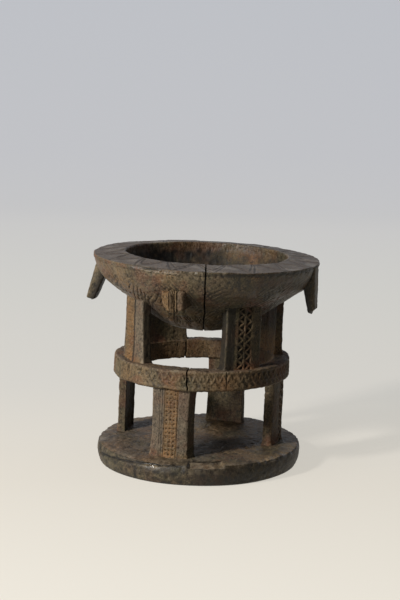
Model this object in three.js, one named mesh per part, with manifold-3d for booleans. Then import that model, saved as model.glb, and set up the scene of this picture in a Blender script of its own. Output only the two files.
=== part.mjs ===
// A carved wooden divination cup: a round foot, four panels, an open ring, four more panels and a
// bowl with a broad rim and hanging lugs. The real cup is one block of wood. Here each carved
// member is a solid of its own. Sizes are in millimetres, +Z is up, and the origin is the centre
// of the underside of the foot. Azimuths are degrees from the front, -Y, towards the right, +X.

import * as THREE from 'three';
import { mergeVertices } from 'three/addons/utils/BufferGeometryUtils.js';
import Module from 'manifold-3d';

// Foot
const footDiameter = 145;
const footThickness = 15.5;
const footBulge = 2.6;
const footHeelRound = 2.4;
const footBrinkRound = 0.8;
const footCrown = 0.8;
const footCrownMargin = 2.5;
const footBreakAzimuth = 22;
const footBreakWidth = 24;
const footBreakReach = 4.5;
const footBreakDepth = 1.8;

// Lower panels
const lowerPanelHeight = 48;
const lowerPanelWidth = 28;
const lowerPanelThickness = 7.5;
const lowerPanelSetback = 3.75;
const lowerBandShare = 0.42;

// Ring
const ringOuterDiameter = 124.5;
const ringWidth = 12.25;
const ringThickness = 14;
const ringEdgeRound = 2.2;
const ringBandDepth = 0.7;
const ringBandMargin = 2.6;

// Upper panels
const upperPanelWidth = 28;
const upperPanelThickness = 6.5;
const upperPanelSetback = 4.75;
const upperPanelTurn = 48;
const upperBandShare = 0.48;

// Bowl
const ringToBowl = 19.5;
const bowlHeight = 53;
const bowlFlatRadius = 10;
const coneFootRadius = 25.5;
const coneBlend = 12.5;
const coneAngle = 36;
const shoulderSetback = 10;
const shoulderSwell = 6.5;
const rimDiameter = 160;
const rimWidth = 23;
const rimFall = 2.1;
const rimEdgeThickness = 3.1;
const rimUndercut = 1;
const hollowDepth = 41;
const lipRound = 0.9;

// Lugs: each was left with its own flare, length and place under the edge of the rim
const lugRootWidth = 15;
const lugTipWidth = 10;
const lugRootDepth = 11;
const lugTipDepth = 5;
const lugSetback = 2.5;
const lugDrop = 34.5;
const lugTipRound = 3;
const lugs = [
  { name: 'lug_left', azimuth: -81, flare: 14, setback: 1, length: 1 },
  { name: 'lug_right', azimuth: 94, flare: 2, setback: 0.2, length: 0.91 },
  { name: 'lug_back', azimuth: 180, flare: 9, setback: 0.6, length: 0.96 },
];

// Broken lug: upright strips of torn fibre, with their shares of the width, the depth and the drop
const brokenLugAzimuth = 3;
const brokenLugWidth = 17;
const tornSetback = 3.5;
const tornTaper = 4;
const tornDepth = 3;
const tornDrop = 18;
const tornRise = 6;
const splinters = [
  { place: -0.41, breadth: 0.2, depth: 1, drop: 0.78 },
  { place: -0.26, breadth: 0.24, depth: 0.45, drop: 0.9 },
  { place: -0.06, breadth: 0.22, depth: 0, drop: 1 },
  { place: 0.12, breadth: 0.21, depth: 0.3, drop: 0.97 },
  { place: 0.34, breadth: 0.32, depth: 0.1, drop: 0.88 },
];

// The panels as the carver left them: azimuth, share of the usual width, share by which it widens
// downwards, share of the usual thickness, place of the cut band, bevels and splayed side at the
// lower and the higher azimuth, and how far it stands beside its azimuth and beyond its circle
const evenPanel = {
  widening: 0,
  bandPlace: 0,
  bevels: [0.05, 0.05],
  splays: [0, 0],
  aside: 0,
  beyond: 0,
};
const unevenLowerRight = { bevels: [0.08, 0.05], bandPlace: 0.04, aside: 0.33, beyond: -0.44 };
const unevenLowerLeft = { aside: -0.29, beyond: 0.3 };
const unevenUpperLeft = { bevels: [0.05, 0.08], bandPlace: -0.1, widening: 0.2 };
const lowerPanels = [
  { ...evenPanel, name: 'lower_post_front', azimuth: -1, breadth: 1, depth: 0.85, splays: [0, 0.07] },
  { ...evenPanel, name: 'lower_post_right', azimuth: 94, breadth: 0.93, depth: 0.8, ...unevenLowerRight },
  { ...evenPanel, name: 'lower_post_back', azimuth: 178.5, breadth: 1.02, depth: 0.8 },
  { ...evenPanel, name: 'lower_post_left', azimuth: -87, breadth: 0.7, depth: 0.75, ...unevenLowerLeft },
];
const upperPanels = [
  { ...evenPanel, name: 'upper_post_front_right', azimuth: 1, breadth: 1.02, depth: 0.93 },
  { ...evenPanel, name: 'upper_post_back_right', azimuth: 83, breadth: 1, depth: 0.9 },
  { ...evenPanel, name: 'upper_post_back_left', azimuth: 184, breadth: 1.18, depth: 0.93 },
  { ...evenPanel, name: 'upper_post_front_left', azimuth: -88, breadth: 0.98, depth: 1, ...unevenUpperLeft },
];
const panelWaist = 0.04;
const panelFlare = 1.4;
const panelFlareHeight = 2.5;
const bevelSteepness = 0.8;
const grooveWidth = 1.4;
const grooveDepth = 0.8;

// Long waves that the knife left round the foot, the ring and the bowl: count, size and start
const handWaves = [
  { count: 3, size: 0.3, start: 40 },
  { count: 5, size: 0.2, start: 200 },
  { count: 8, size: 0.15, start: 95 },
];
const handWaveTurn = 1.1;

// The whole carving leans a little, and the bowl is tilted with it
const leanAngle = 1.3;
const leanHeading = 20;

// Room left between solids that meet on a slanted face
const seatGap = 0.3;

// Fineness of round surfaces
const roundSegments = 64;
const curveSteps = 8;
const footSideSteps = 12;
const ringEdgeSteps = 3;
const panelSteps = 8;
const mergeDistance = 1e-4;

const radians = THREE.MathUtils.degToRad;

// Radii and levels that follow from the sizes above
const ringRadius = ringOuterDiameter / 2;
const lowerPanelRadius = ringRadius - lowerPanelSetback;
const upperPanelRadius = ringRadius - upperPanelSetback;
const ringBottom = footThickness + lowerPanelHeight;
const ringTop = ringBottom + ringThickness;
const bowlBottom = ringTop + ringToBowl;
const rimRadius = rimDiameter / 2;
const mouthRadius = rimRadius - rimWidth;
const shoulderRadius = rimRadius - shoulderSetback;
const coneSlope = Math.tan(radians(coneAngle));
const shoulderLevel = (shoulderRadius - coneFootRadius) * coneSlope;
const rimOuterLevel = bowlHeight - rimFall;
const rimLowerLevel = rimOuterLevel - rimEdgeThickness;

const wasm = await Module();
wasm.setup();

// A closed mesh as a solid that can be joined and cut
function toSolid(geometry) {
  const bare = geometry.clone();
  bare.deleteAttribute('normal');
  bare.deleteAttribute('uv');
  const merged = mergeVertices(bare, mergeDistance);
  return new wasm.Manifold(new wasm.Mesh({
    numProp: 3,
    vertProperties: new Float32Array(merged.attributes.position.array),
    triVerts: new Uint32Array(merged.index.array),
  }));
}

function toGeometry(solid) {
  const mesh = solid.getMesh();
  const geometry = new THREE.BufferGeometry();
  geometry.setAttribute('position', new THREE.BufferAttribute(new Float32Array(mesh.vertProperties), 3));
  geometry.setIndex(new THREE.BufferAttribute(new Uint32Array(mesh.triVerts), 1));
  geometry.computeVertexNormals();
  return geometry;
}

// A revolved body around +Z from a profile of radius and height, counterclockwise as drawn
function revolve(profile) {
  const geometry = new THREE.LatheGeometry(profile, roundSegments);
  geometry.rotateX(Math.PI / 2);
  return geometry;
}

// Turns a piece drawn with +Y pointing outwards so that it faces an azimuth
function faceTowards(geometry, azimuth) {
  geometry.rotateZ(Math.PI + radians(azimuth));
  return geometry;
}

// The lean of the carving: each level is shifted sideways by its height
function lean(geometry) {
  const slope = Math.tan(radians(leanAngle));
  const shiftX = slope * Math.cos(radians(leanHeading));
  const shiftY = slope * Math.sin(radians(leanHeading));
  const shear = new THREE.Matrix4().set(
    1, 0, shiftX, 0,
    0, 1, shiftY, 0,
    0, 0, 1, 0,
    0, 0, 0, 1,
  );
  geometry.applyMatrix4(shear);
  return geometry;
}

// The hand-cut round forms: each point moves in or out by the waves, which turn with its level
function cutByHand(geometry) {
  const places = geometry.attributes.position;
  for (let i = 0; i < places.count; i += 1) {
    const x = places.getX(i);
    const y = places.getY(i);
    const radius = Math.hypot(x, y);
    const turn = Math.atan2(x, -y) + radians(handWaveTurn * places.getZ(i));
    let wave = 0;
    for (const { count, size, start } of handWaves) {
      wave += size * Math.sin(count * turn + radians(start));
    }
    const share = radius / rimRadius;
    const stretch = radius === 0 ? 1 : 1 + (wave * share * share) / radius;
    places.setXY(i, x * stretch, y * stretch);
  }
  return geometry;
}

// Puts what is drawn from the bottom of the bowl in its place, tilted about that point
function seatWithBowl(geometry) {
  const slope = Math.tan(radians(leanAngle));
  const heading = radians(leanHeading);
  const tiltAxis = new THREE.Vector3(-Math.sin(heading), Math.cos(heading), 0);
  geometry.applyMatrix4(new THREE.Matrix4().makeRotationAxis(tiltAxis, radians(leanAngle)));
  const shift = slope * bowlBottom;
  geometry.translate(shift * Math.cos(heading), shift * Math.sin(heading), bowlBottom);
  return geometry;
}

// The foot: flat below, bulging at the side, with a sharp brink that is broken away in one place
function makeFoot() {
  const radius = footDiameter / 2;
  const edge = radius - footBulge;
  const brink = footThickness - footCrown;
  const side = new THREE.SplineCurve([
    new THREE.Vector2(edge - footHeelRound, 0),
    new THREE.Vector2(edge, footHeelRound),
    new THREE.Vector2(radius, footThickness / 2),
    new THREE.Vector2(edge + footBrinkRound / 2, brink - footBrinkRound),
  ]);
  const body = revolve([
    new THREE.Vector2(0, 0),
    ...side.getPoints(footSideSteps),
    new THREE.Vector2(edge - footBrinkRound / 2, brink),
    new THREE.Vector2(lowerPanelRadius + footCrownMargin, footThickness),
    new THREE.Vector2(0, footThickness),
  ]);
  const chip = new THREE.BoxGeometry(footBreakWidth, footBreakReach * 2, footBreakDepth * 2);
  chip.translate(0, edge, brink);
  const broken = toSolid(cutByHand(body)).subtract(toSolid(faceTowards(chip, footBreakAzimuth)));
  return toGeometry(broken);
}

// The ring: rounded edges and a shallow sunk band around its side for the zigzag
function makeRing() {
  const outer = ringRadius;
  const inner = ringRadius - ringWidth;
  const round = ringEdgeRound;
  const low = ringBandMargin + ringBandDepth;
  const high = ringThickness - ringBandMargin - ringBandDepth;
  const outline = new THREE.Path();
  outline.moveTo(inner + round / 2, 0);
  outline.lineTo(outer - round, 0);
  outline.quadraticCurveTo(outer, 0, outer, round);
  outline.lineTo(outer, low - ringBandDepth);
  outline.lineTo(outer - ringBandDepth, low);
  outline.lineTo(outer - ringBandDepth, high);
  outline.lineTo(outer, high + ringBandDepth);
  outline.lineTo(outer, ringThickness - round);
  outline.quadraticCurveTo(outer, ringThickness, outer - round, ringThickness);
  outline.lineTo(inner + round / 2, ringThickness);
  outline.lineTo(inner, ringThickness - round / 2);
  outline.lineTo(inner, round / 2);
  outline.lineTo(inner + round / 2, 0);
  const geometry = revolve(outline.getPoints(ringEdgeSteps));
  geometry.translate(0, 0, ringBottom);
  return geometry;
}

// The cross-section of a panel: bevelled long edges, and a bowed outer face with two grooves that
// frame its cut band. It is drawn with the lower azimuths on the side of +X.
function panelSection(panel, radius, width, thickness, bandShare) {
  const half = width / 2;
  const bandCentre = panel.bandPlace * width;
  const [lowBevel, highBevel] = panel.bevels.map((share) => share * width);
  const [lowSplay, highSplay] = panel.splays.map((share) => share * width);
  const at = (across, inwards) => [-across, Math.sqrt(radius * radius - across * across) - inwards];
  const shape = new THREE.Shape();
  shape.moveTo(...at(-half - lowSplay, thickness));
  shape.lineTo(...at(-half, lowBevel * bevelSteepness));
  shape.lineTo(...at(-half + lowBevel, 0));
  for (const side of [-1, 1]) {
    const groove = bandCentre + (side * bandShare * width) / 2;
    shape.lineTo(...at(groove - grooveWidth / 2, 0));
    shape.lineTo(...at(groove, grooveDepth));
    shape.lineTo(...at(groove + grooveWidth / 2, 0));
    if (side < 0) {
      shape.lineTo(...at(bandCentre, 0));
    }
  }
  shape.lineTo(...at(half - highBevel, 0));
  shape.lineTo(...at(half, highBevel * bevelSteepness));
  shape.lineTo(...at(half + highSplay, thickness));
  shape.lineTo(...at(half / 2, thickness));
  shape.lineTo(...at(0, thickness));
  shape.lineTo(...at(-half / 2, thickness));
  shape.closePath();
  return shape;
}

// A panel between two levels, drawn in at the middle of its height and flared where it ends
function makePanel(panel, radius, usualWidth, usualThickness, bandShare, bottom, top) {
  const height = top - bottom;
  const width = panel.breadth * usualWidth;
  const section = panelSection(panel, radius, width, panel.depth * usualThickness, bandShare);
  const geometry = new THREE.ExtrudeGeometry(section, {
    depth: height,
    steps: panelSteps,
    bevelEnabled: false,
  });
  const places = geometry.attributes.position;
  for (let i = 0; i < places.count; i += 1) {
    // Steps lie closer together towards both ends, where the panel flares
    const share = (1 - Math.cos(Math.PI * places.getZ(i) / height)) / 2;
    const level = share * height;
    const fromEnd = Math.min(level, height - level);
    const flare = panelFlare * Math.exp(-fromEnd / panelFlareHeight);
    const taper = panel.widening * (0.5 - share);
    const stretch = 1 - panelWaist * Math.sin(Math.PI * share) + (2 * flare) / width + taper;
    places.setX(i, places.getX(i) * stretch);
    places.setZ(i, level);
  }
  geometry.translate(-panel.aside * usualWidth, panel.beyond * usualThickness, bottom);
  return faceTowards(geometry, panel.azimuth);
}

// The underside of the bowl: a small flat, a cone and a rounded shoulder under the rim's edge
function bowlUnderside(outwards) {
  const coneStart = coneFootRadius + coneBlend;
  const coneStartLevel = coneBlend * coneSlope;
  const underside = new THREE.Path();
  underside.moveTo(0, 0);
  underside.lineTo(bowlFlatRadius, 0);
  underside.quadraticCurveTo(coneFootRadius, 0, coneStart, coneStartLevel);
  underside.lineTo(shoulderRadius, shoulderLevel);
  underside.quadraticCurveTo(
    shoulderRadius + shoulderSwell,
    shoulderLevel + shoulderSwell * coneSlope,
    rimRadius - rimUndercut,
    rimLowerLevel,
  );
  return underside.getPoints(curveSteps).map((point) => {
    const radius = point.x === 0 ? 0 : point.x + outwards;
    return new THREE.Vector2(radius, point.y - outwards);
  });
}

// The bowl: its underside, the rim's edge, the sloping rim top and the hollow
function makeBowl() {
  const outline = bowlUnderside(0);
  const rim = new THREE.Path();
  rim.moveTo(rimRadius, rimLowerLevel + rimUndercut);
  rim.lineTo(rimRadius, rimOuterLevel - lipRound);
  rim.lineTo(rimRadius - lipRound, rimOuterLevel);
  rim.lineTo((rimRadius + mouthRadius) / 2, (rimOuterLevel + bowlHeight) / 2);
  rim.lineTo(mouthRadius + lipRound, bowlHeight);
  rim.lineTo(mouthRadius, bowlHeight - lipRound);
  rim.absellipse(0, bowlHeight - lipRound, mouthRadius, hollowDepth - lipRound, 0, -Math.PI / 2, true);
  return seatWithBowl(cutByHand(revolve([...outline, ...rim.getPoints(curveSteps)])));
}

// The room that the bowl takes, a little larger than the bowl, for cutting what meets it
function bowlCutter() {
  const outline = bowlUnderside(seatGap);
  outline.push(new THREE.Vector2(rimRadius + seatGap, rimLowerLevel));
  outline.push(new THREE.Vector2(rimRadius + seatGap, bowlHeight + rimRadius));
  outline.push(new THREE.Vector2(0, bowlHeight + rimRadius));
  return toSolid(seatWithBowl(cutByHand(revolve(outline))));
}

// A lug: a tapered tongue with a rounded tip, drawn downwards from the rim at its own flare
function lugBlank({ flare, setback, length }) {
  const outline = new THREE.Shape();
  const tip = lugTipRound;
  outline.moveTo(-lugRootWidth / 2, 0);
  outline.lineTo(-lugTipWidth / 2, -lugDrop + tip);
  outline.quadraticCurveTo(-lugTipWidth / 2, -lugDrop, -lugTipWidth / 2 + tip, -lugDrop);
  outline.lineTo(lugTipWidth / 2 - tip, -lugDrop);
  outline.quadraticCurveTo(lugTipWidth / 2, -lugDrop, lugTipWidth / 2, -lugDrop + tip);
  outline.lineTo(lugRootWidth / 2, 0);
  outline.closePath();
  const geometry = new THREE.ExtrudeGeometry(outline, {
    depth: 1,
    bevelEnabled: false,
    curveSegments: 4,
  });
  const places = geometry.attributes.position;
  for (let i = 0; i < places.count; i += 1) {
    const across = places.getX(i);
    const share = -places.getY(i) / lugDrop;
    const down = share * lugDrop * length;
    const depth = lugRootDepth + (lugTipDepth - lugRootDepth) * share;
    const outer = rimRadius - setback * lugSetback + Math.tan(radians(flare)) * down;
    const inwards = places.getZ(i);
    places.setXYZ(i, across, outer - depth * inwards, rimLowerLevel - down);
  }
  return geometry;
}

function makeLug(lug, cutter) {
  const blank = toSolid(seatWithBowl(faceTowards(lugBlank(lug), lug.azimuth)));
  return toGeometry(blank.subtract(cutter));
}

// One torn strip: it stands out from the cone, split upright along the grain, and ends in a break
function splinterStrip(strip) {
  const top = shoulderLevel + tornRise;
  const bottom = top - strip.drop * tornDrop;
  const outer = rimRadius - tornSetback;
  const lowerOuter = outer - tornTaper - strip.depth * tornDepth;
  const inner = coneFootRadius + bottom / coneSlope - lugRootDepth;
  const outline = new THREE.Shape();
  outline.moveTo(-outer, top);
  outline.lineTo(-lowerOuter, bottom);
  outline.lineTo(-inner, bottom);
  outline.lineTo(-inner, top);
  outline.closePath();
  const geometry = new THREE.ExtrudeGeometry(outline, {
    depth: strip.breadth * brokenLugWidth,
    bevelEnabled: false,
  });
  geometry.translate(0, 0, (strip.place - strip.breadth / 2) * brokenLugWidth);
  geometry.rotateX(Math.PI / 2);
  geometry.rotateZ(-Math.PI / 2);
  return toSolid(geometry);
}

function makeBrokenLug(azimuth, cutter) {
  let torn = splinterStrip(splinters[0]);
  for (const strip of splinters.slice(1)) {
    torn = torn.add(splinterStrip(strip));
  }
  const placed = toSolid(seatWithBowl(faceTowards(toGeometry(torn), azimuth)));
  return toGeometry(placed.subtract(cutter));
}

// Old wood, dark with handling, and paler where the surface is worn or torn
function wood(color, roughness) {
  return new THREE.MeshStandardMaterial({ color, roughness, metalness: 0 });
}

const cup = new THREE.Group();

function addPiece(name, geometry, material) {
  const piece = new THREE.Mesh(geometry, material);
  piece.name = name;
  cup.add(piece);
}

const darkWood = wood(0x3a2f28, 0.5);
const wornWood = wood(0x5a4732, 0.6);
const tornWood = wood(0x7d6243, 0.8);

addPiece('base_disc', lean(makeFoot()), darkWood);
for (const panel of lowerPanels) {
  const geometry = makePanel(
    panel,
    lowerPanelRadius,
    lowerPanelWidth,
    lowerPanelThickness,
    lowerBandShare,
    footThickness,
    ringBottom,
  );
  addPiece(panel.name, lean(geometry), wornWood);
}
addPiece('middle_ring', lean(cutByHand(makeRing())), darkWood);

const cutter = bowlCutter();
for (const panel of upperPanels) {
  const turned = { ...panel, azimuth: panel.azimuth + upperPanelTurn };
  const blank = makePanel(
    turned,
    upperPanelRadius,
    upperPanelWidth,
    upperPanelThickness,
    upperBandShare,
    ringTop,
    bowlBottom + shoulderLevel,
  );
  addPiece(panel.name, toGeometry(toSolid(lean(blank)).subtract(cutter)), wornWood);
}

addPiece('bowl', makeBowl(), darkWood);
for (const lug of lugs) {
  addPiece(lug.name, makeLug(lug, cutter), darkWood);
}
addPiece('lug_stub_front', makeBrokenLug(brokenLugAzimuth, cutter), tornWood);

export default cup;
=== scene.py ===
import math

import bpy
import numpy as np
from mathutils import Matrix, Vector


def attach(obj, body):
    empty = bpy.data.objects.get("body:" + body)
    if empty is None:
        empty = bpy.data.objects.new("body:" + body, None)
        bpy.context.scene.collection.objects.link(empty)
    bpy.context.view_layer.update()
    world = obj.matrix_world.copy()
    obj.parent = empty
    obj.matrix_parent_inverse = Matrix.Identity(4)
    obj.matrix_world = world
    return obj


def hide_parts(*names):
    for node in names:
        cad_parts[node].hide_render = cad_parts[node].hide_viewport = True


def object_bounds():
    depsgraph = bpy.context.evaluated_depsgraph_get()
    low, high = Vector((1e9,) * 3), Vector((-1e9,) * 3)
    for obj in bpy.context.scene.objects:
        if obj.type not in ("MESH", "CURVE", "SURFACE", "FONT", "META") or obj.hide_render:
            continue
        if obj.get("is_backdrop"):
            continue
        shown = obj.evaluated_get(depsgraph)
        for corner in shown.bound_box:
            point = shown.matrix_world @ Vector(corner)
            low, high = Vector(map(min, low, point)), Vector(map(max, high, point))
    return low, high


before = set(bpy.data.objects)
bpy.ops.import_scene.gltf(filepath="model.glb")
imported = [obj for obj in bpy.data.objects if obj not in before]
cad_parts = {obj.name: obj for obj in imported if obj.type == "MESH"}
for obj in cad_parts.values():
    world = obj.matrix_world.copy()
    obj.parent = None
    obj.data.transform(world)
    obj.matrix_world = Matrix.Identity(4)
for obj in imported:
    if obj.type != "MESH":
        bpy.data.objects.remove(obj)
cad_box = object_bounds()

# The foot: a thick round disc of the same block as everything above it, cut flat below so that
# the cup stands. Its side bulges a little. Its sharp upper edge is chipped all round by use, split
# at the front left by a flake that has lifted, and broken away in one place at the front right.

mm = 0.001
foot_radius = 72.5 * mm
foot_thickness = 15.5 * mm
foot_chips = 44
foot_step = 0.7 * mm
foot_plateau = 61 * mm
knife_waves = ((3, 0.3, 40), (5, 0.2, 200), (8, 0.15, 95))  # count, size in mm, start in degrees
wave_reach = 80 * mm
wave_twist = math.radians(1.1) / mm

lean_slope = math.tan(math.radians(1.3))
lean_heading = math.radians(20)
up_axis = np.array([0, 0, 1])


def smooth(low, high, value):
    """0 below low, 1 above high, and a soft step between them."""
    share = np.clip((value - low) / (high - low), 0, 1)
    return share * share * (3 - 2 * share)


def swell(points, size, seed):
    """Smooth random values from -1 to 1 at points, with humps about as wide as size."""
    places = np.asarray(points, float) / size + 7.31 * seed
    corner = np.floor(places).astype(np.int64)
    share = places - corner
    share = share * share * share * (share * (share * 6 - 15) + 10)
    total = 0
    for dx, dy, dz in np.ndindex(2, 2, 2):
        mixed = ((corner[..., 0] + dx) * 73856093) ^ ((corner[..., 1] + dy) * 19349663)
        mixed = (mixed ^ ((corner[..., 2] + dz) * 83492791)) + seed * 374761393
        mixed = mixed & 0xFFFFFFFF
        mixed = ((mixed ^ (mixed >> 13)) * 1274126177) & 0xFFFFFFFF
        mixed = mixed ^ (mixed >> 16)
        value = (mixed & 0xFFFF) / 32767.5 - 1
        weight = np.where(dx, share[..., 0], 1 - share[..., 0])
        weight = weight * np.where(dy, share[..., 1], 1 - share[..., 1])
        weight = weight * np.where(dz, share[..., 2], 1 - share[..., 2])
        total = total + value * weight
    return total


def hand_cut(points, seed):
    """How far knife and use left the surface from true: swells, short facets and small pits."""
    facets = np.abs(swell(points * [1, 1, 0.8], 6 * mm, seed + 1))
    pits = smooth(0.25, 0.75, swell(points, 1.9 * mm, seed + 2))
    return (0.3 * swell(points, 24 * mm, seed) - 0.35 * facets + 0.15
            + 0.17 * swell(points, 2.6 * mm, seed + 3) - 0.3 * pits) * mm


def uneven(points):
    """The round forms are a little out of true, in long waves that turn with the height."""
    reach = np.hypot(points[..., 0], points[..., 1])
    turn = np.arctan2(points[..., 0], -points[..., 1]) + wave_twist * points[..., 2]
    wave = 0
    for count, size, start in knife_waves:
        wave = wave + size * mm * np.sin(count * turn + math.radians(start))
    stretch = 1 + wave * reach / wave_reach ** 2
    return points * np.stack([stretch, stretch, 1 + 0 * stretch], -1)


def around(azimuth):
    """The level direction that points away from the axis at an azimuth."""
    return np.stack([np.sin(azimuth), -np.cos(azimuth), 0 * azimuth], -1)


def points_at(x, y=0, z=0):
    return np.stack(np.broadcast_arrays(x, y, z), -1)


def turned(profile, azimuths):
    """Grid of points, row by row up a profile of (radius, height) and round through azimuths."""
    grid = profile[:, None, :1] * around(azimuths)[None]
    grid[..., 2] = profile[:, 1:2]
    return grid


def spread(profile, step):
    """Points about a step apart along a line of corner points."""
    corners = np.array(profile, float)
    lengths = np.r_[0, np.cumsum(np.hypot(*np.diff(corners, axis=0).T))]
    count = max(2, int(round(lengths[-1] / step)) + 1)
    at = np.linspace(0, lengths[-1], count)
    return np.stack([np.interp(at, lengths, corners[:, 0]), np.interp(at, lengths, corners[:, 1])], -1)


def curve(start, bend, end, count=14):
    """A quadratic curve from start to end, drawn towards bend."""
    t = np.linspace(0, 1, count)[:, None]
    start, bend, end = (np.array(p, float) for p in (start, bend, end))
    return ((1 - t) ** 2 * start + 2 * t * (1 - t) * bend + t * t * end).tolist()


def outward(grid, ring_rows=False):
    """Unit normals of a grid that runs round in its columns and up in its rows."""
    along = np.roll(grid, -1, axis=1) - np.roll(grid, 1, axis=1)
    if ring_rows:
        up = np.roll(grid, -1, axis=0) - np.roll(grid, 1, axis=0)
    else:
        up = np.gradient(grid, axis=0)
    normals = np.cross(along, up)
    return normals / np.maximum(np.linalg.norm(normals, axis=-1, keepdims=True), 1e-12)


def lean(points):
    """The carving leans: each level is shifted sideways by its height."""
    return points + points[..., 2:3] * lean_slope * around(lean_heading + math.pi / 2)


def level_places(points):
    """How far points lie along the heading of the lean, and square to it."""
    return points @ around(lean_heading + math.pi / 2), points @ around(lean_heading + math.pi)


def arc_from(azimuths, centre, radius):
    """Distance round the side from a place given in degrees."""
    return (np.mod(azimuths - math.radians(centre) + np.pi, 2 * np.pi) - np.pi) * radius


def carved_mesh(name, grid, tones, material, ring_rows=False):
    """A closed mesh from a grid of points. Tones are per-point values that its material reads."""
    rows, columns = grid.shape[:2]
    index = np.arange(rows * columns).reshape(rows, columns)
    lower = index if ring_rows else index[:-1]
    upper = np.roll(index, -1, axis=0) if ring_rows else index[1:]
    quads = np.stack([lower, np.roll(lower, -1, axis=1), np.roll(upper, -1, axis=1), upper], -1)
    faces = quads.reshape(-1, 4).tolist()
    points = grid.reshape(-1, 3)
    values = {tone: np.broadcast_to(field, (rows, columns)).reshape(-1) for tone, field in tones.items()}
    if not ring_rows:
        for end in (0, rows - 1):
            hub = len(points)
            points = np.vstack([points, grid[end].mean(0)])
            for tone in values:
                values[tone] = np.r_[values[tone], values[tone][index[end]].mean()]
            rim = index[end].tolist()
            ahead = rim[1:] + rim[:1]
            faces += [[hub, b, a] if end == 0 else [hub, a, b] for a, b in zip(rim, ahead)]
    mesh = bpy.data.meshes.new(name)
    mesh.from_pydata(points.tolist(), [], faces)
    for tone, value in values.items():
        held = np.clip(value, 0, 1).astype(np.float32)
        mesh.attributes.new(tone, "FLOAT", "POINT").data.foreach_set("value", held)
    mesh.polygons.foreach_set("use_smooth", np.ones(len(faces), bool))
    mesh.materials.append(material)
    mesh.update()
    piece = bpy.data.objects.new(name, mesh)
    bpy.context.scene.collection.objects.link(piece)
    return piece


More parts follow.
